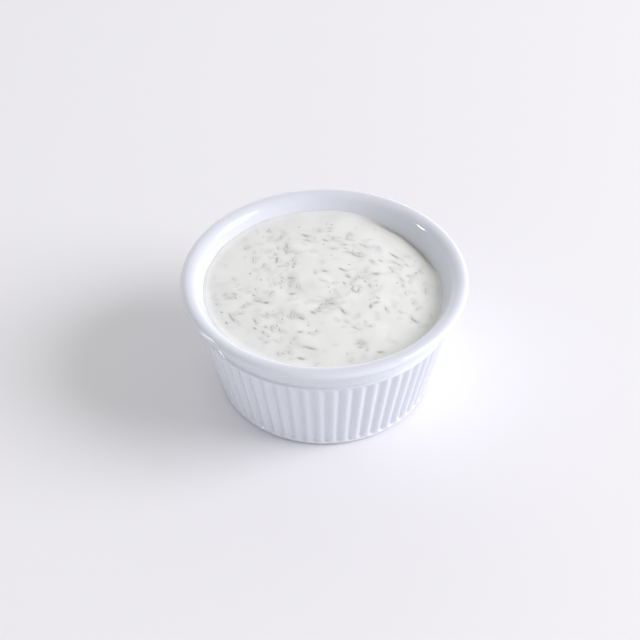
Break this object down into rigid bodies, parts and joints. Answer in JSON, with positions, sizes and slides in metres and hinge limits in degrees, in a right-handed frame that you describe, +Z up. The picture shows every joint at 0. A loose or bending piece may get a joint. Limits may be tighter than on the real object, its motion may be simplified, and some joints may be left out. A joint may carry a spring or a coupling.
{
  "type": "tzatziki dip in a ramekin",
  "caption": "Tzatziki: thick white yoghurt dip flecked with chopped dill, filling a round white ramekin with a ribbed tapering wall and a broad rolled lip.",
  "frame": {"origin": "centre of the ramekin's foot, on the surface it stands on", "axes": "+Z up along the ramekin's axis, out of its open top; -Y towards the camera of the picture"},
  "size_m": [0.074, 0.074, 0.034],
  "materials": {
    "melamine": "glossy moulded white, very slightly blue",
    "tzatziki": null,
    "dill": null
  },
  "bodies": {
    "root": {"ramekin": "melamine", "dip": "tzatziki"}
  },
  "joints": []
}
